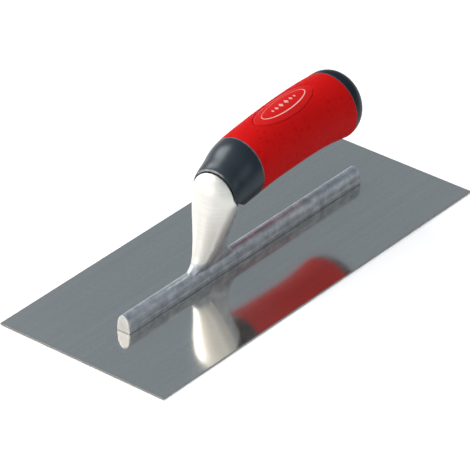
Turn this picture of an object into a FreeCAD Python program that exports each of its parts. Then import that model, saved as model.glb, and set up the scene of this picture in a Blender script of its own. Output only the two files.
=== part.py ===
import FreeCAD, Part
import math
import os

# Finishing trowel, millimetres.
# Frame: +X along the blade towards the toe, +Y to the left, +Z up.
# Origin: centre of the blade's underside, which is the working face.

# blade
BLADE_LENGTH = 280.0
BLADE_WIDTH = 120.0
BLADE_THICKNESS = 0.7

# spine of the casting
SPINE_FRONT = 103.5
SPINE_REAR = -105.7
SPINE_HALF_WIDTH = 4.8
SPINE_SHOULDER = 4.0
SPINE_SHOULDER_STEP = 0.35
SPINE_TOP = 11.4
SPINE_CROWN_HALF_WIDTH = 2.1

# points through which each oval of the handle is drawn
OVAL_POINTS = 16
HALF_OVAL_STEPS = 6
REAR_ROUNDING = 0.5

# rivets through the blade into the spine
RIVET_COUNT = 7
RIVET_SPAN = 186.0
RIVET_RADIUS = 1.8
RIVET_HEAD_RADIUS = 2.9
RIVET_REACH = 8.0

# neck, as level sections: height, rear x, rear half width, widest x, half width, front x
NECK_SECTIONS = (
    (9.0, 6.0, 3.0, 36.0, 3.6, 56.0),
    (11.5, 11.0, 3.4, 36.0, 4.0, 47.0),
    (15.5, 14.8, 4.2, 35.2, 5.3, 41.8),
    (20.0, 17.0, 5.4, 33.0, 6.8, 39.5),
    (26.0, 16.6, 7.0, 30.4, 8.7, 38.0),
    (33.0, 14.0, 8.8, 27.8, 10.5, 36.9),
    (40.0, 11.5, 10.6, 25.4, 12.4, 35.9),
    (47.0, 10.0, 12.2, 23.0, 14.2, 34.7),
)

# domed shoulder that closes the neck: its centre in x and z, its reach forward, half width and height
SHOULDER_CENTRE = (20.9, 51.8)
SHOULDER_REACH = 12.4
SHOULDER_HALF_WIDTH = 15.5
SHOULDER_HEIGHT = 15.0
SHOULDER_BACK = (9.0, 13.0)
SHOULDER_TURNS = (0, 22, 42, 58, 70, 80)

# handle envelope, as upright ovals: x, top, bottom, half width
COLLAR_OVALS = (
    (27.0, 62.3, 36.0, 14.6),
    (23.2, 67.5, 37.0, 16.0),
    (16.0, 72.4, 39.0, 17.1),
    (9.0, 76.8, 40.8, 18.3),
    (2.5, 78.9, 42.0, 19.0),
    (-4.0, 80.2, 43.0, 19.1),
)
GRIP_OVALS = (
    (8.0, 77.4, 42.0, 18.7),
    (2.5, 78.9, 42.4, 19.0),
    (-12.0, 81.5, 43.8, 19.1),
    (-30.0, 83.5, 44.7, 19.3),
    (-48.0, 84.8, 45.3, 19.6),
    (-64.0, 85.0, 45.0, 20.2),
    (-80.5, 84.3, 43.0, 21.0),
)
FRONT_SEAM = 1.5
REAR_SEAM = -80.5
HANDLE_END = -95.2
CAP_APEX_HEIGHT = 66.0
CAP_FULLNESS = 2.3
SLEEVE_THICKNESS = 3.5

# mouth of the collar, in the side view
MOUTH_X = 23.2
MOUTH_KNEE = 53.0
MOUTH_SLOPE = 35.0
MOUTH_GAP = 0.25

# tapered spigot of the neck inside the collar, as upright ovals
SPIGOT_OVALS = (
    (25.0, 62.0, 42.0, 12.2),
    (7.0, 68.0, 49.0, 9.5),
)
TANG_HEIGHT = 58.5
TANG_RADIUS_FRONT = 7.5
TANG_RADIUS_REAR = 5.0
TANG_END = -56.0
FIT_CLEARANCE = 0.15

# screw that pulls the handle onto the tang
SCREW_RADIUS = 3.0
SCREW_LENGTH = 22.0
SCREW_HEAD_RADIUS = 5.0
SCREW_HEAD_HEIGHT = 3.6
SCREW_SOCKET = 2.5
THREAD_DEPTH = 20.0
WASHER_RADIUS = 6.0
WASHER_THICKNESS = 1.2
SEAT_WALL = 4.0
ACCESS_RADIUS = 6.5

# end cap spigot
CAP_SPIGOT_RADIUS = 9.5
CAP_SPIGOT_LENGTH = 6.0
CAP_SPIGOT_WALL = 2.0
CAP_HOLLOW_DEPTH = 8.0

# oval badge let into the top of the grip
BADGE_CENTRE = -38.5
BADGE_LENGTH = 50.0
BADGE_WIDTH = 20.2
BADGE_DEPTH = 1.4
BADGE_GAP = 0.25


def vec(x, y, z):
    return FreeCAD.Vector(x, y, z)


def box(x0, x1, y0, y1, z0, z1):
    return Part.makeBox(x1 - x0, y1 - y0, z1 - z0, vec(x0, y0, z0))


def oval_wire(x, top, bottom, half_width, inset=0.0):
    """Upright oval in the plane x, drawn in by inset."""
    half_height = (top - bottom) / 2 - inset
    middle = (top + bottom) / 2
    turns = [2 * math.pi * i / OVAL_POINTS for i in range(OVAL_POINTS)]
    points = [vec(x, (half_width - inset) * math.cos(t), middle + half_height * math.sin(t)) for t in turns]
    curve = Part.BSplineCurve()
    curve.interpolate(Points=points, PeriodicFlag=True)
    return Part.Wire(curve.toShape())


def oval_loft(ovals, inset=0.0):
    return Part.makeLoft([oval_wire(*oval, inset) for oval in ovals], True, False)


def keep_between(shape, x0, x1):
    return shape.common(box(x0, x1, -100, 100, -10, 200))


def make_blade():
    blade = box(-BLADE_LENGTH / 2, BLADE_LENGTH / 2, -BLADE_WIDTH / 2, BLADE_WIDTH / 2, 0, BLADE_THICKNESS)
    return blade.cut(Part.makeCompound([rivet(x) for x in rivet_places()]))


def rivet_places():
    pitch = RIVET_SPAN / (RIVET_COUNT - 1)
    return [-RIVET_SPAN / 2 + i * pitch for i in range(RIVET_COUNT)]


def rivet(x):
    """Countersunk drive rivet, its head flush with the blade's underside."""
    head = Part.makeCone(RIVET_HEAD_RADIUS, RIVET_RADIUS, BLADE_THICKNESS, vec(x, 0, 0))
    shank = Part.makeCylinder(RIVET_RADIUS, RIVET_REACH, vec(x, 0, 0))
    return head.fuse(shank).removeSplitter()


def make_rivets():
    return Part.makeCompound([rivet(x) for x in rivet_places()])


def spine_bar():
    """Straight bar with an arched top and a low shoulder along each side."""
    inner = SPINE_HALF_WIDTH - SPINE_SHOULDER_STEP
    base = BLADE_THICKNESS
    arch = Part.BezierCurve()
    arch.setPoles([
        vec(SPINE_REAR, inner, SPINE_SHOULDER),
        vec(SPINE_REAR, inner - SPINE_SHOULDER_STEP, SPINE_TOP - 1.0),
        vec(SPINE_REAR, SPINE_CROWN_HALF_WIDTH, SPINE_TOP),
        vec(SPINE_REAR, 0, SPINE_TOP),
    ])
    mirrored = arch.toShape().mirror(vec(0, 0, 0), vec(0, 1, 0))
    sides = Part.makePolygon([
        vec(SPINE_REAR, -inner, SPINE_SHOULDER),
        vec(SPINE_REAR, -SPINE_HALF_WIDTH, SPINE_SHOULDER - SPINE_SHOULDER_STEP),
        vec(SPINE_REAR, -SPINE_HALF_WIDTH, base),
        vec(SPINE_REAR, SPINE_HALF_WIDTH, base),
        vec(SPINE_REAR, SPINE_HALF_WIDTH, SPINE_SHOULDER - SPINE_SHOULDER_STEP),
        vec(SPINE_REAR, inner, SPINE_SHOULDER),
    ])
    profile = Part.Wire(Part.__sortEdges__(sides.Edges + [arch.toShape(), mirrored]))
    return Part.Face(profile).extrude(vec(SPINE_FRONT - SPINE_REAR, 0, 0))


def half_oval(x, reach, half_width, height, start):
    """Half of an oval round the point x, bulging by reach, from the angle start."""
    turns = [start + math.pi * i / HALF_OVAL_STEPS for i in range(HALF_OVAL_STEPS + 1)]
    points = [vec(x + reach * math.cos(t), half_width * math.sin(t), height) for t in turns]
    curve = Part.BSplineCurve()
    curve.interpolate(points)
    return curve.toShape()


def neck_wire(height, rear_x, rear_half, wide_x, wide_half, front_x):
    """Level section of the neck: a round front, flanks that draw in, a round back."""
    rear_reach = rear_half * REAR_ROUNDING
    rear_centre = rear_x + rear_reach
    front = half_oval(wide_x, front_x - wide_x, wide_half, height, -math.pi / 2)
    back = half_oval(rear_centre, rear_reach, rear_half, height, math.pi / 2)
    left = Part.makeLine(vec(wide_x, wide_half, height), vec(rear_centre, rear_half, height))
    right = Part.makeLine(vec(rear_centre, -rear_half, height), vec(wide_x, -wide_half, height))
    return Part.Wire([front, left, back, right])


def shoulder_sections():
    """Level sections that draw the neck in to a dome."""
    x, z = SHOULDER_CENTRE
    back, back_half = SHOULDER_BACK
    sections = []
    for turn in SHOULDER_TURNS:
        rise = math.sin(math.radians(turn))
        left = math.cos(math.radians(turn))
        sections.append((
            z + SHOULDER_HEIGHT * rise,
            x - back * left,
            back_half * left,
            x,
            SHOULDER_HALF_WIDTH * left,
            x + SHOULDER_REACH * left,
        ))
    return sections


def neck_raw():
    """Neck and its domed shoulder, before the collar's room is taken out."""
    sections = list(NECK_SECTIONS) + shoulder_sections()
    return Part.makeLoft([neck_wire(*section) for section in sections], True, False)


def mouth_profile(gap):
    """Region behind and above the collar's mouth, as a thick plate across the handle."""
    run = 60.0
    slope = math.radians(MOUTH_SLOPE)
    x, knee = MOUTH_X + gap, MOUTH_KNEE - gap
    points = [
        vec(x, -60, 120),
        vec(x, -60, knee + 2.0),
        vec(x - 2.0 * math.cos(slope), -60, knee - 2.0 * math.sin(slope)),
        vec(x - run * math.cos(slope), -60, knee - run * math.sin(slope)),
        vec(x - run * math.cos(slope), -60, 120),
        vec(x, -60, 120),
    ]
    return Part.Face(Part.makePolygon(points)).extrude(vec(0, 120, 0))


def collar_envelope(gap):
    return oval_loft(COLLAR_OVALS, -gap).common(mouth_profile(gap))


def spigot(clearance):
    return oval_loft(SPIGOT_OVALS, -clearance)


def tang(clearance):
    """Tapered round tang that the handle slides onto from behind."""
    length = SPIGOT_OVALS[-1][0] + 4.0 - TANG_END
    return Part.makeCone(
        TANG_RADIUS_FRONT + clearance,
        TANG_RADIUS_REAR + clearance,
        length,
        vec(SPIGOT_OVALS[-1][0] + 4.0, 0, TANG_HEIGHT),
        vec(-1, 0, 0),
    )


def screw_hole(radius, length, start=TANG_END):
    return Part.makeCylinder(radius, length, vec(start, 0, TANG_HEIGHT), vec(1, 0, 0))


def make_spine_casting():
    """Spine, neck, spigot and tang in one aluminium casting."""
    neck = neck_raw().cut(collar_envelope(MOUTH_GAP))
    casting = neck.fuse(spine_bar()).fuse([spigot(0), tang(0)])
    casting = casting.cut(screw_hole(SCREW_RADIUS, THREAD_DEPTH))
    return casting.cut(make_rivets()).removeSplitter()


def make_handle_core():
    """Hard core: the bare collar in front, a tube under the grip behind it."""
    collar = keep_between(collar_envelope(0), FRONT_SEAM, 60)
    tube = keep_between(oval_loft(GRIP_OVALS, SLEEVE_THICKNESS), REAR_SEAM + 2.0, FRONT_SEAM + 0.01)
    core = collar.fuse(tube)
    core = core.cut([spigot(FIT_CLEARANCE), tang(FIT_CLEARANCE)])
    seat = TANG_END - SEAT_WALL
    screw_way = screw_hole(SCREW_RADIUS + 0.3, SEAT_WALL + 1.0, seat)
    access = screw_hole(ACCESS_RADIUS, 40.0, seat - 40.0)
    cap_socket = screw_hole(CAP_SPIGOT_RADIUS, CAP_SPIGOT_LENGTH + 3.0, REAR_SEAM)
    return core.cut([screw_way, access, cap_socket])


def grip_envelope():
    return oval_loft(GRIP_OVALS)


def badge_prism(grow, depth):
    """Oval column over the badge, deep enough to reach depth below the grip's top."""
    long_half = BADGE_LENGTH / 2 + grow
    short_half = BADGE_WIDTH / 2 + grow
    ellipse = Part.Ellipse(vec(BADGE_CENTRE, 0, 0), long_half, short_half)
    column = Part.Face(Part.Wire(ellipse.toShape())).extrude(vec(0, 0, 120))
    under = oval_loft(GRIP_OVALS, depth)
    top_half = box(-200, 200, -60, 60, 65, 120)
    return column.common(top_half).cut(under)


def make_grip_sleeve():
    """Soft sleeve moulded round the core, with the oval pocket for the badge."""
    outer = keep_between(grip_envelope(), REAR_SEAM, FRONT_SEAM)
    inner = keep_between(oval_loft(GRIP_OVALS, SLEEVE_THICKNESS), REAR_SEAM - 1, FRONT_SEAM + 1)
    return outer.cut([inner, badge_prism(0, BADGE_DEPTH)])


def make_badge():
    """Oval inlay, flush with the grip."""
    return badge_prism(-BADGE_GAP, BADGE_DEPTH).common(grip_envelope())


def cap_ovals():
    """The grip's last oval drawn in along a full dome to the end of the handle."""
    x0, top, bottom, half_width = GRIP_OVALS[-1]
    middle, half_height = (top + bottom) / 2, (top - bottom) / 2
    ovals = []
    for turn in (0, 15, 30, 45, 60, 73, 81, 86):
        share = math.sin(math.radians(turn))
        left = (1 - share ** CAP_FULLNESS) ** (1 / CAP_FULLNESS)
        x = x0 + (HANDLE_END - x0) * share
        centre = middle + (CAP_APEX_HEIGHT - middle) * share
        ovals.append((x, centre + half_height * left, centre - half_height * left, half_width * left))
    return ovals


def make_end_cap():
    """Domed cap whose hollow spigot presses into the back of the core."""
    dome = oval_loft(cap_ovals())
    plug = screw_hole(CAP_SPIGOT_RADIUS - 0.1, CAP_SPIGOT_LENGTH + 0.5, REAR_SEAM - 0.5)
    hollow_length = CAP_SPIGOT_LENGTH + CAP_HOLLOW_DEPTH
    hollow = screw_hole(CAP_SPIGOT_RADIUS - CAP_SPIGOT_WALL, hollow_length, REAR_SEAM - CAP_HOLLOW_DEPTH)
    return dome.fuse(plug).cut(hollow)


def make_retaining_screw():
    head_start = TANG_END - SEAT_WALL - WASHER_THICKNESS - SCREW_HEAD_HEIGHT
    head = screw_hole(SCREW_HEAD_RADIUS, SCREW_HEAD_HEIGHT, head_start)
    shank = screw_hole(SCREW_RADIUS, SCREW_LENGTH, head_start + SCREW_HEAD_HEIGHT)
    hexagon = [vec(head_start, SCREW_SOCKET * math.cos(math.radians(60 * i)),
                   TANG_HEIGHT + SCREW_SOCKET * math.sin(math.radians(60 * i))) for i in range(7)]
    socket = Part.Face(Part.makePolygon(hexagon)).extrude(vec(SCREW_HEAD_HEIGHT * 0.6, 0, 0))
    return head.fuse(shank).cut(socket).removeSplitter()


def make_washer():
    seat = TANG_END - SEAT_WALL - WASHER_THICKNESS
    ring = screw_hole(WASHER_RADIUS, WASHER_THICKNESS, seat)
    return ring.cut(screw_hole(SCREW_RADIUS + 0.2, WASHER_THICKNESS, seat))


PARTS = {
    "blade": make_blade,
    "blade_rivets": make_rivets,
    "spine_casting": make_spine_casting,
    "handle_core": make_handle_core,
    "grip_sleeve": make_grip_sleeve,
    "badge": make_badge,
    "end_cap": make_end_cap,
    "retaining_screw": make_retaining_screw,
    "washer": make_washer,
}

os.makedirs("parts", exist_ok=True)
for name, make in PARTS.items():
    shape = make()
    shape.exportStep("parts/" + name + ".step")
    print(name, "solids", len(shape.Solids), "volume %.0f" % shape.Volume, "valid", shape.isValid())
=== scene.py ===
import math

import bmesh
import bpy
import numpy as np
from mathutils import Matrix, Vector, noise


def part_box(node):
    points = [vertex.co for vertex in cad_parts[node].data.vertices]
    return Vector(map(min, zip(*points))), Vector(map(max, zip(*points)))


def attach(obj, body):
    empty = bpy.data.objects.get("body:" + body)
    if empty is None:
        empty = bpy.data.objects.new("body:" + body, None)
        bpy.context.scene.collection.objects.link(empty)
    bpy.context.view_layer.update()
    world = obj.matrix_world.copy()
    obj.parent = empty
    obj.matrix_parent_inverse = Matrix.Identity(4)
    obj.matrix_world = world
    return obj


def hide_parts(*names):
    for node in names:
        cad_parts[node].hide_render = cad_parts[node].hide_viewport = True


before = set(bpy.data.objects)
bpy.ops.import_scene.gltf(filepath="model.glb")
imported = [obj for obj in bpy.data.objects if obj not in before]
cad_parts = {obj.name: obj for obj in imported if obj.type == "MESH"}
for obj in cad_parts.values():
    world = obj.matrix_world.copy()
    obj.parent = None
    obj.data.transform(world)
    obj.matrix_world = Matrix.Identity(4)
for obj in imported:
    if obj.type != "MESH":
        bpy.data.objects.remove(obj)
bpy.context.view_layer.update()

MM = 0.001

# camera: where it stands round the trowel, in degrees and metres
CAMERA_AZIMUTH = 129.646
CAMERA_ELEVATION = 31.921
CAMERA_ROLL = -0.374
CAMERA_DISTANCE = 2.42489
CAMERA_AIM_RIGHT = -0.0035
CAMERA_AIM_UP = 0.012332
CAMERA_LENS = 323.37
SENSOR_WIDTH = 36.0

# horizontal direction in which the surround is brightest, and the floor, in metres
SURROUND_FRONT = (0.82, -0.57, 0.0)
FLOOR_SIZE = 12
FLOOR_HEIGHT = -0.0005

# soft lights: name, place and aim in metres, size in metres, watts
LIGHTS = (
    ("overhead", (0.2, -0.3, 2.2), (0, 0, 0), (2.2, 2.2), 33),
    ("key", (0.3, -1.7, 1.45), (0, 0, 0.05), (0.85, 1.3), 29),
    ("front", (2.1, -0.8, 0.9), (0, 0, 0.05), (1.2, 1.0), 8),
    ("fill", (0.5, 2.0, 1.3), (0, 0, 0.05), (1.2, 1.2), 6),
)

# handle envelope as upright ovals, in millimetres: x, top, bottom, half width
COLLAR_OVALS = (
    (27.0, 62.3, 36.0, 14.6),
    (23.2, 67.5, 37.0, 16.0),
    (16.0, 72.4, 39.0, 17.1),
    (9.0, 76.8, 40.8, 18.3),
    (2.5, 78.9, 42.0, 19.0),
    (-4.0, 80.2, 43.0, 19.1),
)
GRIP_OVALS = (
    (8.0, 77.4, 42.0, 18.7),
    (2.5, 78.9, 42.4, 19.0),
    (-12.0, 81.5, 43.8, 19.1),
    (-30.0, 83.5, 44.7, 19.3),
    (-48.0, 84.8, 45.3, 19.6),
    (-64.0, 85.0, 45.0, 20.2),
    (-80.5, 84.3, 43.0, 21.0),
)
MOUTH_X = 23.2
MOUTH_KNEE = 53.0
MOUTH_SLOPE = 35.0
CAP_APEX_HEIGHT = 66.0
CAP_FULLNESS = 2.3

# seams: radius of their edges, insets of the rings on the flat end faces, and how pale the edges are
# painted as a highlight
SEAM_RADIUS = 0.32
EDGE_STEPS = 4
END_FACE_INSETS = (3.4, 1.6)
CAP_FACE_INSETS = (9.0, 4.0, 1.6)
COLLAR_EDGE_HIGHLIGHT = 0.42
CAP_EDGE_HIGHLIGHT = 0.2

# mouth of the collar: points each way over which its knee is smoothed, where the lip starts, and how deep,
# how far forward at most and how far in the inner wall ends
MOUTH_SMOOTHING = 4
LIP_START = 0.7
INNER_DEPTH = 5.0
INNER_LIMIT = 12.0
INNER_INSET = 3.4

# lip as (back from the mouth, inset, share of painted highlight), and the turn in radians where the painted
# highlight is strongest
LIP_HIGHLIGHT_TURN = 1.85
LIP_PROFILE = (
    (0.33, 0.06, 0.7),
    (0.09, 0.28, 1.0),
    (0.0, 0.6, 0.6),
    (0.1, 0.95, 0.0),
    (0.45, 1.15, 0.0),
    (3.0, 1.3, 0.0),
)

# blade, in metres: distance within which its points are one, and how far its edges are broken
WELD_DISTANCE = 0.00001
BLADE_EDGE_BREAK = 0.00012

# casting, in millimetres: where its linished front begins, as x against the depth below the top of the
# crease, and where that front ends above the foot
CREASE_TOP = 47.0
CREASE_CURVE = (20.5, 0.236, 0.0039)
FOOT_HEIGHT = 15.5
FOOT_DIP = 3.5
FOOT_RUN = 1.5

# casting: size of its voxels in metres, height of its uneven skin, and the ranges of height or length
# over which its relaxed neck, smooth crown and ground end begin and stop
CASTING_VOXEL = 0.00045
SKIN_UNEVENNESS = 0.07
SKIN_START = (1.2, 3.0)
NECK_RISE = (22.0, 27.0)
NECK_FALL = (46.0, 56.0)
NECK_BACK = (4.0, 8.0)
NECK_RELAXATION = 0.6
NECK_ROUNDS = 60
CROWN_RISE = (10.4, 11.0)
CROWN_FALL = (11.6, 12.2)
END_START = (102.6, 103.1)
END_SHINE = 0.5

# grip: how far the fine part of its mesh reaches round the badge, in radians each way and in millimetres
FINE_TURN = 0.72
FINE_MARGIN = 2.5

# badge: depth of its pocket, the run of the pocket's wall and the height above which the grip is cut
POCKET_DEPTH = 0.75
POCKET_WALL = 0.45
POCKET_ABOVE = 65.0

# badge: its softly rounded rim as (inset, drop), the printed oval line, and the diamonds as (x from the
# badge's middle, size)
BADGE_RIM = ((0.3, 0.95), (0.12, 0.9), (0.1, 0.6), (0.14, 0.34), (0.32, 0.12), (0.6, 0.02), (1.0, 0.0))
PRINT_LENGTH = 37.5
PRINT_WIDTH = 12.0
PRINT_LINE = 0.7
PRINT_BEVEL = 0.06
PRINT_SINK = 0.02
FILM = 0.05
DIAMOND_SLIMNESS = 0.8
DIAMONDS = ((-10.0, 1.1), (-6.6, 1.5), (-2.6, 1.9), (2.0, 1.9), (6.0, 1.5), (9.4, 1.1))


# ---------------------------------------------------------------- mesh helpers

def spline(knots, values):
    """Natural cubic curve through the knots, as a function of numpy arrays."""
    order = np.argsort(knots)
    x, y = np.array(knots, float)[order], np.array(values, float)[order]
    n, h = len(x), np.diff(x)
    matrix, right = np.eye(n), np.zeros(n)
    for i in range(1, n - 1):
        matrix[i, i - 1:i + 2] = h[i - 1], 2 * (h[i - 1] + h[i]), h[i]
        right[i] = 6 * ((y[i + 1] - y[i]) / h[i] - (y[i] - y[i - 1]) / h[i - 1])
    bend = np.linalg.solve(matrix, right)

    def curve(at):
        at = np.asarray(at, float)
        i = np.clip(np.searchsorted(x, at) - 1, 0, n - 2)
        a, b, w = x[i + 1] - at, at - x[i], h[i]
        return ((bend[i] * a ** 3 + bend[i + 1] * b ** 3) / (6 * w)
                + (y[i] / w - bend[i] * w / 6) * a + (y[i + 1] / w - bend[i + 1] * w / 6) * b)
    return curve


class Ovals:
    """Surface of upright ovals along X, in millimetres, smooth from one oval to the next."""

    def __init__(self, table):
        xs, tops, bottoms, halves = zip(*table)
        self.top, self.bottom, self.half = spline(xs, tops), spline(xs, bottoms), spline(xs, halves)

    def point(self, x, turn, inset=0.0):
        """Points at x and at the angle turn round the oval, drawn in by inset."""
        top, bottom = self.top(x), self.bottom(x)
        y = (self.half(x) - inset) * np.cos(turn)
        z = (top + bottom) / 2 + ((top - bottom) / 2 - inset) * np.sin(turn)
        return np.stack([np.broadcast_to(x, np.shape(y)), y, z], axis=-1)


COLLAR = Ovals(COLLAR_OVALS)
GRIP = Ovals(GRIP_OVALS)


def new_piece(name, vertices, faces):
    """A smooth mesh object from millimetre vertices."""
    mesh = bpy.data.meshes.new(name)
    mesh.from_pydata([tuple(v) for v in np.asarray(vertices) * MM], [], faces)
    mesh.update()
    mesh.shade_smooth()
    piece = bpy.data.objects.new(name, mesh)
    bpy.context.scene.collection.objects.link(piece)
    return piece


def ring_mesh(rings, loop=False):
    """Quads between closed rings of equal length; without loop, a fan closes each end."""
    rings = np.asarray(rings)
    count, around = rings.shape[:2]
    vertices = list(rings.reshape(-1, 3))
    faces = []
    for i in range(count if loop else count - 1):
        here, there = i * around, (i + 1) % count * around
        for j in range(around):
            k = (j + 1) % around
            faces.append((here + j, here + k, there + k, there + j))
    if not loop:
        for start in (0, (count - 1) * around):
            centre = len(vertices)
            vertices.append(np.mean(vertices[start:start + around], axis=0))
            faces += [(start + j, start + (j + 1) % around, centre) for j in range(around)]
    return vertices, faces


def ring_piece(name, rings, loop=False):
    return outward(new_piece(name, *ring_mesh(rings, loop)))


def store(piece, name, values):
    """Keeps one number for each vertex, which the material reads."""
    attribute = piece.data.attributes.new(name, "FLOAT", "POINT")
    attribute.data.foreach_set("value", np.asarray(values, np.float32).ravel())


def outward(piece):
    """Turns every face so that its normal points out of the closed piece."""
    mesh = bmesh.new()
    mesh.from_mesh(piece.data)
    bmesh.ops.recalc_face_normals(mesh, faces=mesh.faces)
    mesh.to_mesh(piece.data)
    mesh.free()
    return piece


def add_piece(piece, material, node=None):
    """Gives a piece its material and its body, and hides the CAD node that it stands for."""
    piece.data.materials.clear()
    piece.data.materials.append(material)
    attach(piece, "root")
    if node:
        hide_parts(node)
    return piece


# ---------------------------------------------------------------- materials

class NodeTree:
    """Short way to write nodes."""

    def __init__(self, tree):
        self.nodes = tree.nodes
        self.links = tree.links

    def add(self, kind, inputs=None, **settings):
        node = self.nodes.new("ShaderNode" + kind)
        for key, value in settings.items():
            setattr(node, key, value)
        for socket, value in (inputs or {}).items():
            if isinstance(value, bpy.types.NodeSocket):
                self.links.new(value, node.inputs[socket])
            else:
                node.inputs[socket].default_value = value
        return node

    def place(self, scale=(1, 1, 1)):
        """Position on the object in metres, stretched by scale."""
        position = self.add("TexCoord").outputs["Object"]
        return self.add("Mapping", {"Vector": position, "Scale": scale}).outputs[0]

    def noise(self, scale, detail=3.0, roughness=0.5, stretch=(1, 1, 1)):
        vector = self.place(stretch)
        settings = {"Vector": vector, "Scale": scale, "Detail": detail, "Roughness": roughness}
        return self.add("TexNoise", settings).outputs["Fac"]

    def ramp(self, value, *stops):
        """Colour or grey stops, each (position, value)."""
        node = self.add("ValToRGB", {"Fac": value})
        elements = node.color_ramp.elements
        while len(elements) < len(stops):
            elements.new(0.5)
        for element, (position, colour) in zip(elements, stops):
            element.position = position
            element.color = (colour,) * 3 + (1,) if isinstance(colour, (int, float)) else (*colour, 1)
        return node.outputs["Color"]

    def mix(self, factor, a, b, blend="MIX"):
        node = self.add("Mix", data_type="RGBA", blend_type=blend)
        for index, value in ((0, factor), (6, a), (7, b)):
            if isinstance(value, bpy.types.NodeSocket):
                self.links.new(value, node.inputs[index])
            elif index == 0:
                node.inputs[index].default_value = value
            else:
                node.inputs[index].default_value = (*value, 1)
        return node.outputs[2]

    def math(self, operation, *values):
        return self.add("Math", dict(enumerate(values)), operation=operation).outputs[0]

    def bump(self, height, distance, strength, under=None):
        """Normal from a height; under is a coarser normal below it."""
        inputs = {"Height": height, "Distance": distance, "Strength": strength}
        if under is not None:
            inputs["Normal"] = under
        return self.add("Bump", inputs).outputs["Normal"]

    def attribute(self, name):
        return self.add("Attribute", attribute_name=name).outputs["Fac"]


class Shader(NodeTree):
    """A node material; the keywords set constants on its shader."""

    def __init__(self, name, **sockets):
        self.material = bpy.data.materials.new(name)
        self.material.use_nodes = True
        super().__init__(self.material.node_tree)
        self.shader = self.nodes["Principled BSDF"]
        for socket, value in sockets.items():
            self.shader.inputs[socket.replace("_", " ")].default_value = value

    def put(self, socket, value):
        self.links.new(value, self.shader.inputs[socket])


def blade_steel():
    s = Shader("blade_steel", Metallic=0.97)
    streaks = s.noise(60.0, 6.0, 0.65, stretch=(0.08, 4.0, 1.0))
    clouds = s.noise(9.0, 3.0, 0.5)
    grain = s.noise(900.0, 4.0, 0.7)
    colour = s.mix(clouds, (0.775, 0.735, 0.675), (0.845, 0.80, 0.745))
    colour = s.mix(0.3, colour, s.ramp(streaks, (0.3, 0.80), (0.7, 1.0)), "MULTIPLY")
    s.put("Base Color", s.mix(0.3, colour, s.ramp(grain, (0.35, 0.76), (0.65, 1.0)), "MULTIPLY"))
    s.put("Roughness", s.ramp(streaks, (0.25, 0.08), (0.75, 0.125)))
    s.put("Normal", s.bump(streaks, 0.00001, 0.2))
    return s.material


def sheared_steel():
    """Cut edge of the blade: darker than its faces, and drawn in fine upright lines."""
    s = Shader("sheared_steel", Metallic=0.8)
    lines = s.noise(900.0, 3.0, 0.6, stretch=(1.0, 1.0, 0.1))
    s.put("Base Color", s.mix(lines, (0.16, 0.145, 0.13), (0.34, 0.32, 0.30)))
    s.put("Roughness", s.ramp(lines, (0.3, 0.42), (0.7, 0.6)))
    return s.material


def cast_aluminium():
    """Blotchy as cast, pale where it is ground, and smoother along the crown of the spine."""
    s = Shader("cast_aluminium", Metallic=0.85)
    ground = s.attribute("ground")
    crown = s.attribute("crown")
    blotch = s.noise(170.0, 6.0, 0.62)
    drag = s.noise(420.0, 4.0, 0.6, stretch=(0.25, 1.0, 1.0))
    grain = s.noise(1500.0, 3.0, 0.6)
    cast = s.ramp(
        blotch,
        (0.32, (0.39, 0.41, 0.45)),
        (0.5, (0.53, 0.555, 0.592)),
        (0.7, (0.70, 0.72, 0.745)),
    )
    cast = s.mix(0.5, cast, s.ramp(drag, (0.35, 0.7), (0.65, 1.0)), "MULTIPLY")
    lines = s.noise(500.0, 4.0, 0.7, stretch=(0.15, 0.15, 6.0))
    linished = s.ramp(lines, (0.25, (0.67, 0.65, 0.60)), (0.7, (0.80, 0.785, 0.74)))
    s.put("Base Color", s.mix(ground, cast, linished))
    cast_rough = s.mix(crown, s.ramp(blotch, (0.3, 0.42), (0.7, 0.54)), (0.36, 0.36, 0.36))
    ground_rough = s.ramp(lines, (0.3, 0.42), (0.7, 0.50))
    s.put("Roughness", s.mix(ground, cast_rough, ground_rough))
    rough_skin = s.bump(s.mix(0.5, grain, blotch), 0.00030, 0.6)
    s.put("Normal", s.bump(s.mix(ground, (0.5, 0.5, 0.5), lines), 0.00006, 0.5, rough_skin))
    return s.material


def black_plastic(name, gloss):
    s = Shader(name, Specular_IOR_Level=gloss, Specular_Tint=(0.82, 0.95, 1.0, 1.0))
    grain = s.noise(2600.0, 2.0, 0.5)
    clouds = s.noise(60.0, 3.0, 0.5)
    black = s.mix(clouds, (0.007, 0.011, 0.016), (0.012, 0.017, 0.024))
    # pale grey on the seam and lip edges is a painted highlight, broken up by noise
    edge_highlight = s.math("MULTIPLY", s.attribute("edge"), s.ramp(s.noise(400.0, 3.0), (0.3, 0.5), (0.6, 1.0)))
    s.put("Base Color", s.mix(edge_highlight, black, (0.30, 0.31, 0.31)))
    s.put("Roughness", s.ramp(clouds, (0.3, 0.30), (0.7, 0.38)))
    s.put("Normal", s.bump(grain, 0.00005, 0.35))
    return s.material


def red_soft_grip():
    s = Shader("red_soft_grip", Specular_IOR_Level=0.04)
    grain = s.noise(900.0, 2.0, 0.5)
    clouds = s.noise(45.0, 4.0, 0.6)
    red = s.mix(clouds, (0.40, 0.0042, 0.0045), (0.47, 0.0056, 0.0050))
    voronoi = {"Vector": s.place(), "Scale": 190.0, "Randomness": 1.0}
    cells = s.add("TexVoronoi", voronoi).outputs["Distance"]
    flecks = s.ramp(cells, (0.05, 0.76), (0.30, 1.0))
    fine = s.ramp(grain, (0.30, 0.86), (0.46, 1.0))
    s.put("Base Color", s.mix(1.0, s.mix(1.0, red, flecks, "MULTIPLY"), fine, "MULTIPLY"))
    s.put("Roughness", s.ramp(grain, (0.3, 0.66), (0.7, 0.54)))
    s.put("Normal", s.bump(grain, 0.00010, 0.35))
    return s.material


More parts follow.
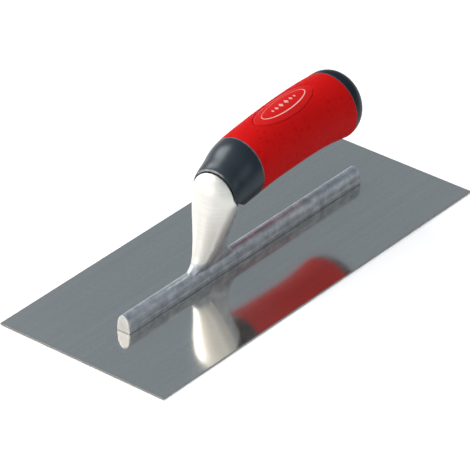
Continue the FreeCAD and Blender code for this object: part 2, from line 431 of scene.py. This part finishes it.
def red_badge():
    s = Shader("red_badge", Specular_IOR_Level=0.08)
    clouds = s.noise(120.0, 3.0, 0.5)
    s.put("Base Color", s.mix(clouds, (0.42, 0.007, 0.007), (0.48, 0.009, 0.008)))
    s.put("Roughness", s.ramp(clouds, (0.3, 0.36), (0.7, 0.44)))
    s.put("Normal", s.bump(s.noise(2200.0, 2.0), 0.00003, 0.3))
    return s.material


def white_print():
    """Screen print, worn thin towards one side."""
    s = Shader("white_print", Specular_IOR_Level=0.25)
    side = s.add("SeparateXYZ", {0: s.place()}).outputs["Y"]
    faded = s.ramp(s.math("MULTIPLY_ADD", side, 60.0, 0.5), (0.2, 0.92), (0.6, 0.3))
    wear = s.math("ADD", faded, s.ramp(s.noise(1400.0, 4.0, 0.7), (0.3, 0.3), (0.5, 0.0)))
    s.put("Base Color", s.mix(wear, (0.74, 0.54, 0.50), (0.50, 0.03, 0.025)))
    s.put("Roughness", s.ramp(wear, (0.3, 0.36), (0.7, 0.5)))
    return s.material


def zinc_steel(name):
    s = Shader(name, Metallic=1.0)
    clouds = s.noise(300.0, 4.0, 0.6)
    s.put("Base Color", s.mix(clouds, (0.52, 0.53, 0.55), (0.66, 0.66, 0.65)))
    s.put("Roughness", s.ramp(clouds, (0.3, 0.26), (0.7, 0.38)))
    s.put("Normal", s.bump(s.noise(1800.0, 3.0), 0.00004, 0.4))
    return s.material


# ---------------------------------------------------------------- pieces

def turns(count):
    return np.linspace(0, 2 * np.pi, count, endpoint=False)


def rounded_edge(x, direction):
    """(x, inset) pairs of a quarter round that turns from the surface into an end face."""
    pairs = []
    for i in range(EDGE_STEPS + 1):
        angle = math.pi / 2 * i / EDGE_STEPS
        back = SEAM_RADIUS * (1 - math.sin(angle))
        pairs.append((x - direction * back, SEAM_RADIUS * (1 - math.cos(angle))))
    return pairs


def copy_of(node, name):
    """A new object with a copy of a CAD node's mesh."""
    piece = bpy.data.objects.new(name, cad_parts[node].data.copy())
    bpy.context.scene.collection.objects.link(piece)
    return piece


def apply_modifiers(piece):
    """Puts the modified mesh in place of the piece's own, and clears its modifiers."""
    bpy.context.view_layer.update()
    evaluated = piece.evaluated_get(bpy.context.evaluated_depsgraph_get())
    mesh = bpy.data.meshes.new_from_object(evaluated)
    piece.modifiers.clear()
    piece.data = mesh


def build_blade(material, edge_material):
    """The steel sheet with its rivet holes, its edges very slightly broken."""
    blade = copy_of("blade", "blade_sheet")
    weld = blade.modifiers.new("weld", "WELD")
    weld.merge_threshold = WELD_DISTANCE
    flat = blade.modifiers.new("flat", "DECIMATE")
    flat.decimate_type = "DISSOLVE"
    flat.angle_limit = math.radians(1)
    bevel = blade.modifiers.new("broken_edges", "BEVEL")
    bevel.width = BLADE_EDGE_BREAK
    bevel.segments = 2
    bevel.limit_method = "ANGLE"
    apply_modifiers(blade)
    add_piece(blade, material, "blade")
    blade.data.materials.append(edge_material)
    for face in blade.data.polygons:
        face.material_index = int(abs(face.normal.z) < 0.9)


def crease_x(z):
    """Where the neck's linished front begins at the height z, in millimetres."""
    below = CREASE_TOP - z
    start, slope, bend = CREASE_CURVE
    return start + slope * below + bend * below * below


def smooth_step(value, low, high):
    t = np.clip((value - low) / (high - low), 0, 1)
    return t * t * (3 - 2 * t)


def band(value, rise, fall):
    """One between the rise and the fall, each a (low, high) pair, and zero outside them."""
    return smooth_step(value, *rise) * (1 - smooth_step(value, *fall))


def relax(mesh, points, share, rounds):
    """Moves each point towards the mean of its neighbours by its share, a number of rounds."""
    edges = np.empty(len(mesh.edges) * 2, np.int32)
    mesh.edges.foreach_get("vertices", edges)
    first, second = edges.reshape(-1, 2).T
    count = len(points)
    neighbours = np.bincount(first, minlength=count) + np.bincount(second, minlength=count)

    def neighbour_sum(values):
        return np.bincount(first, values[second], count) + np.bincount(second, values[first], count)

    for _ in range(rounds):
        total = np.stack([neighbour_sum(points[:, k]) for k in range(3)], axis=1)
        points = points + share[:, None] * (total / neighbours[:, None] - points)
    return points


def unevenness(point):
    """Height of the skin that the mould left at a point, as a share of SKIN_UNEVENNESS."""
    place = Vector(point)
    return noise.noise(place * 0.22) + 0.5 * noise.noise(place * 0.7)


def vertex_values(mesh, name):
    """One vector for each vertex: its place or its normal."""
    values = np.empty(len(mesh.vertices) * 3, np.float32)
    mesh.vertices.foreach_get(name, values)
    return values.reshape(-1, 3)


def build_casting(material):
    """The whole casting, its edges softened as a mould leaves them, with a slightly uneven skin."""
    casting = copy_of("spine_casting", "casting_body")
    remesh = casting.modifiers.new("skin", "REMESH")
    remesh.mode = "VOXEL"
    remesh.voxel_size = CASTING_VOXEL
    smooth = casting.modifiers.new("soften", "SMOOTH")
    smooth.factor = 0.5
    smooth.iterations = 4
    apply_modifiers(casting)
    mesh = casting.data
    points = vertex_values(mesh, "co") / MM
    normals = vertex_values(mesh, "normal")
    neck = band(points[:, 2], NECK_RISE, NECK_FALL) * smooth_step(points[:, 0], *NECK_BACK)
    points = relax(mesh, points, neck * NECK_RELAXATION, NECK_ROUNDS)
    x, z = points[:, 0], points[:, 2]
    past_crease = x - crease_x(z)
    foot = FOOT_HEIGHT - FOOT_DIP * np.exp(-np.maximum(past_crease, 0) / FOOT_RUN)
    front = smooth_step(past_crease, -0.3, 0.3) * smooth_step(z - foot, -0.7, 0.7)
    end = smooth_step(x, *END_START) * smooth_step(normals[:, 0], 0.5, 0.8)
    ground = np.maximum(front, end * END_SHINE)
    height = np.array([unevenness(point) for point in points]) * SKIN_UNEVENNESS
    points += normals * (height * (1 - ground) * smooth_step(z, *SKIN_START))[:, None]
    mesh.vertices.foreach_set("co", (points * MM).astype(np.float32).ravel())
    store(casting, "ground", ground)
    store(casting, "crown", band(points[:, 2], CROWN_RISE, CROWN_FALL))
    mesh.update()
    mesh.shade_smooth()
    return add_piece(casting, material, "spine_casting")


def mouth_reach(turn):
    """How far forward the collar reaches at each angle: to the upright lip or the slanted underside."""
    slope = math.tan(math.radians(MOUTH_SLOPE))
    # halving the stretch between a place well inside the collar and the lip
    low, high = np.full_like(turn, -2.0), np.full_like(turn, MOUTH_X)
    for _ in range(40):
        middle = (low + high) / 2
        z = COLLAR.point(middle, turn)[..., 2]
        inside = z > MOUTH_KNEE - (MOUTH_X - middle) * slope
        low, high = np.where(inside, middle, low), np.where(inside, high, middle)
    return (low + high) / 2


def build_collar(material):
    """Bare front of the core: from the seam forward to the lip, over it and back inside."""
    around = turns(224)
    reach = mouth_reach(around)
    shifts = range(-MOUTH_SMOOTHING, MOUTH_SMOOTHING + 1)
    reach = sum(np.roll(reach, shift) for shift in shifts) / len(shifts)
    seam = np.full_like(around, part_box("grip_sleeve")[1].x / MM)
    rings = [(COLLAR.point(seam, around, inset), 0) for inset in END_FACE_INSETS]
    # the seam edge is painted pale over the upper side as a highlight
    seam_highlight = COLLAR_EDGE_HIGHLIGHT * smooth_step(np.sin(around), -0.2, 0.5)
    for x, inset in reversed(rounded_edge(0.0, -1)):
        rings.append((COLLAR.point(seam + x, around, inset), seam_highlight))
    start = seam + SEAM_RADIUS
    for share in np.linspace(0, 1, 26)[1:]:
        rings.append((COLLAR.point(start + (reach - LIP_START - start) * share, around), 0))
    # the lip is painted pale over its upper side as a highlight, strongest at one turn
    lip_highlight = smooth_step(np.cos(around - LIP_HIGHLIGHT_TURN), 0.7, 0.92)
    for back, inset, edge_highlight in LIP_PROFILE:
        rings.append((COLLAR.point(reach - back, around, inset), edge_highlight * lip_highlight))
    wall_end = np.minimum(reach - INNER_DEPTH, INNER_LIMIT)
    rings.append((COLLAR.point(wall_end, around, INNER_INSET), 0))
    collar = ring_piece("collar", [ring for ring, edge_highlight in rings], True)
    store(collar, "edge", [np.broadcast_to(edge_highlight, around.shape) for ring, edge_highlight in rings])
    return add_piece(collar, material, "handle_core")


def badge_distance(x, y):
    """Distance outside the badge's oval on plan, negative inside, in millimetres."""
    centre, length, width = badge_oval()
    u, v = (x - centre) / (length / 2), y / (width / 2)
    scale = np.hypot(u, v)
    slope = np.hypot(u / (length / 2), v / (width / 2)) / np.maximum(scale, 1e-6)
    return (scale - 1) / np.maximum(slope, 1e-6)


def badge_oval():
    """Middle, length and width of the badge on plan, in millimetres."""
    low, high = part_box("badge")
    return (low.x + high.x) / 2 / MM, (high.x - low.x) / MM, (high.y - low.y) / MM


def build_grip(material):
    """Soft sleeve: outside with the pocket for the badge, rounded edges at both seams, inner wall."""
    low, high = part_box("grip_sleeve")
    rear, seam = low.x / MM, high.x / MM
    centre, length = badge_oval()[:2]
    fine_turns = math.pi / 2 + np.linspace(-FINE_TURN, FINE_TURN, 97)
    coarse_turns = np.linspace(fine_turns[-1], fine_turns[0] + 2 * math.pi, 100)[1:-1]
    around = np.concatenate([fine_turns, coarse_turns])
    fine_low = centre - length / 2 - FINE_MARGIN
    fine_high = centre + length / 2 + FINE_MARGIN
    stations = np.concatenate([
        np.linspace(seam - SEAM_RADIUS, fine_high, 8),
        np.linspace(fine_high, fine_low, 150)[1:-1],
        np.linspace(fine_low, rear + SEAM_RADIUS, 10),
    ])
    flat = np.ones_like(around)
    profile = [(seam, inset) for inset in END_FACE_INSETS] + rounded_edge(seam, 1)[::-1]
    rings = [GRIP.point(flat * x, around, inset) for x, inset in profile]
    for x in stations[1:-1]:
        ring = GRIP.point(flat * x, around)
        distance = badge_distance(ring[:, 0], ring[:, 1])
        pocket = POCKET_DEPTH * (1 - smooth_step(distance, 0.0, POCKET_WALL))
        ring[:, 2] -= pocket * (ring[:, 2] > POCKET_ABOVE)
        rings.append(ring)
    profile = rounded_edge(rear, -1) + [(rear, inset) for inset in END_FACE_INSETS[::-1]]
    rings += [GRIP.point(flat * x, around, inset) for x, inset in profile]
    return add_piece(ring_piece("grip_skin", rings, True), material, "grip_sleeve")


def grip_top(x, y, drop=0.0):
    """Points on the upper side of the grip above the plan points x, y."""
    top, bottom, half = GRIP.top(x), GRIP.bottom(x), GRIP.half(x)
    z = (top + bottom) / 2 + (top - bottom) / 2 * np.sqrt(1 - (y / half) ** 2)
    return np.stack([x, y, z - drop], axis=-1)


def oval_ring(inset, drop):
    """Ring on the grip's top, drawn in from the badge's outline and let down by drop."""
    centre, length, width = badge_oval()
    t = turns(160)
    return grip_top(centre + (length / 2 - inset) * np.cos(t), (width / 2 - inset) * np.sin(t), drop)


def build_badge(material):
    """Oval inlay with a softly rounded rim, sitting in the pocket of the grip."""
    rings = [oval_ring(inset, drop) for inset, drop in BADGE_RIM]
    rings += [oval_ring(inset, 0.0) for inset in np.linspace(1.5, 9.2, 14)]
    return add_piece(ring_piece("badge_inlay", rings), material, "badge")


def film(outline):
    """A closed outline on the badge, given as plan x and y, as a thin raised film."""
    x, y = outline
    middle = np.mean(x)
    half = grip_top(middle + (x - middle) / 2, y / 2, -FILM)
    return ring_mesh([grip_top(x, y, FILM / 2), grip_top(x, y, -FILM), half])


def diamond(x, size):
    """Plan outline of a diamond about x, with a point halfway along each side."""
    corners = np.array([(1, 0), (0, 1), (-1, 0), (0, -1)])
    halfway = (corners + np.roll(corners, -1, axis=0)) / 2
    outline = np.stack([corners, halfway], axis=1).reshape(-1, 2) * size
    return x + outline[:, 0] * DIAMOND_SLIMNESS, outline[:, 1]


def build_badge_print(material):
    """Plain printed oval line round a row of small diamonds."""
    centre = badge_oval()[0]
    t = turns(200)
    bands = []
    section = (
        (0.0, PRINT_SINK),
        (PRINT_BEVEL, -FILM),
        (PRINT_LINE - PRINT_BEVEL, -FILM),
        (PRINT_LINE, PRINT_SINK),
    )
    for inset, drop in section:
        x = centre + (PRINT_LENGTH / 2 - inset) * np.cos(t)
        bands.append(grip_top(x, (PRINT_WIDTH / 2 - inset) * np.sin(t), drop))
    meshes = [ring_mesh(bands, True)]
    for place, size in DIAMONDS:
        meshes.append(film(diamond(centre + place, size)))
    vertices, faces = [], []
    for part_vertices, part_faces in meshes:
        faces += [tuple(i + len(vertices) for i in face) for face in part_faces]
        vertices += list(part_vertices)
    return add_piece(outward(new_piece("badge_print", vertices, faces)), material)


def build_cap(material):
    """Domed rear cap with a rounded edge at the seam."""
    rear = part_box("grip_sleeve")[0].x / MM
    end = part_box("end_cap")[0].x / MM
    around = turns(160)
    top, bottom, half = GRIP.top(rear), GRIP.bottom(rear), GRIP.half(rear)
    middle, tall = (top + bottom) / 2, (top - bottom) / 2

    def dome(angle, inset=0.0, shift=0.0):
        share = math.sin(angle)
        left = (1 - share ** CAP_FULLNESS) ** (1 / CAP_FULLNESS)
        centre = middle + (CAP_APEX_HEIGHT - middle) * share
        y = (half * left - inset) * np.cos(around)
        z = centre + (tall * left - inset) * np.sin(around)
        return np.stack([np.full_like(y, rear + (end - rear) * share + shift), y, z], axis=-1)

    inner = [dome(0, inset) for inset in CAP_FACE_INSETS]
    edge = [dome(0, inset, x) for x, inset in reversed(rounded_edge(0.0, 1))]
    outer = [dome(math.asin(SEAM_RADIUS * 1.4 / (rear - end)))]
    outer += [dome(math.radians(turn)) for turn in np.arange(5, 89.5, 2.5)]
    cap = ring_piece("cap_shell", inner + edge + outer)
    # the seam's rounded edge is painted pale all round as a highlight
    edge_highlight = np.zeros(len(cap.data.vertices))
    edge_highlight[len(inner) * len(around):(len(inner) + len(edge)) * len(around)] = CAP_EDGE_HIGHLIGHT
    store(cap, "edge", edge_highlight)
    return add_piece(cap, material, "end_cap")


def keep_node(node, material):
    """Gives its material to a CAD node that is shown as it is."""
    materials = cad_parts[node].data.materials
    materials.clear()
    materials.append(material)


def scene_camera():
    azimuth, elevation = math.radians(CAMERA_AZIMUTH), math.radians(CAMERA_ELEVATION)
    back = Vector((
        math.sin(azimuth) * math.cos(elevation),
        -math.cos(azimuth) * math.cos(elevation),
        math.sin(elevation),
    ))
    level = Vector((0, 0, 1)).cross(back).normalized()
    upright = back.cross(level)
    roll = math.radians(CAMERA_ROLL)
    right = level * math.cos(roll) + upright * math.sin(roll)
    up = upright * math.cos(roll) - level * math.sin(roll)
    data = bpy.data.cameras.new("camera")
    data.lens = CAMERA_LENS
    data.sensor_width = SENSOR_WIDTH
    data.clip_end = 20.0
    camera = bpy.data.objects.new("camera", data)
    place = back * CAMERA_DISTANCE + right * CAMERA_AIM_RIGHT + up * CAMERA_AIM_UP
    camera.matrix_world = Matrix.Translation(place) @ Matrix((right, up, back)).transposed().to_4x4()
    bpy.context.scene.collection.objects.link(camera)
    bpy.context.scene.camera = camera


def add_light(name, place, aim, size, energy):
    data = bpy.data.lights.new(name, "AREA")
    data.shape = "RECTANGLE"
    data.size, data.size_y = size
    data.energy = energy
    light = bpy.data.objects.new(name, data)
    place = Vector(place)
    turn = (place - Vector(aim)).to_track_quat("Z", "Y")
    light.matrix_world = Matrix.Translation(place) @ turn.to_matrix().to_4x4()
    bpy.context.scene.collection.objects.link(light)
    return light


def scene_floor():
    """Plain pale floor just under the blade."""
    bpy.ops.mesh.primitive_plane_add(size=FLOOR_SIZE, location=(0, 0, FLOOR_HEIGHT))
    floor = bpy.context.object
    floor.name = "floor"
    paint = Shader("floor_paint", Roughness=0.9)
    paint.put("Base Color", paint.ramp(paint.noise(3.0), (0.3, 0.90), (0.7, 0.92)))
    floor.data.materials.append(paint.material)


def scene_surround():
    """Grey surround that brightens towards the front and at the horizon."""
    world = bpy.data.worlds.new("studio")
    world.use_nodes = True
    bpy.context.scene.world = world
    studio = NodeTree(world.node_tree)
    direction = studio.add("TexCoord").outputs["Generated"]
    facing = studio.add("VectorMath", {0: direction, 1: SURROUND_FRONT}, operation="DOT_PRODUCT")
    front = facing.outputs["Value"]
    height = studio.add("SeparateXYZ", {0: direction}).outputs["Z"]
    sides = studio.ramp(
        studio.math("MULTIPLY_ADD", front, 0.5, 0.5),
        (0.0, (0.22, 0.265, 0.295)),
        (0.40, (0.22, 0.27, 0.315)),
        (0.52, (0.42, 0.46, 0.49)),
        (0.74, 0.95),
    )
    horizon = studio.ramp(height, (0.02, 1.0), (0.12, 0.0))
    studio.links.new(studio.mix(1.0, sides, horizon, "LIGHTEN"), studio.nodes["Background"].inputs[0])


def scene_lights():
    """Soft lights; the overhead one lights the trowel without showing in its blade."""
    for name, place, aim, size, watts in LIGHTS:
        light = add_light(name, place, aim, size, watts)
        light.visible_glossy = name != "overhead"


def main():
    build_blade(blade_steel(), sheared_steel())
    build_casting(cast_aluminium())
    build_collar(black_plastic("black_plastic", 0.38))
    build_grip(red_soft_grip())
    build_badge(red_badge())
    build_badge_print(white_print())
    build_cap(black_plastic("cap_plastic", 0.12))
    steel = zinc_steel("zinc_steel")
    keep_node("retaining_screw", steel)
    keep_node("washer", steel)
    keep_node("blade_rivets", zinc_steel("rivet_steel"))
    scene_camera()
    scene_floor()
    scene_surround()
    scene_lights()
    bpy.context.scene.view_settings.view_transform = "Standard"


main()
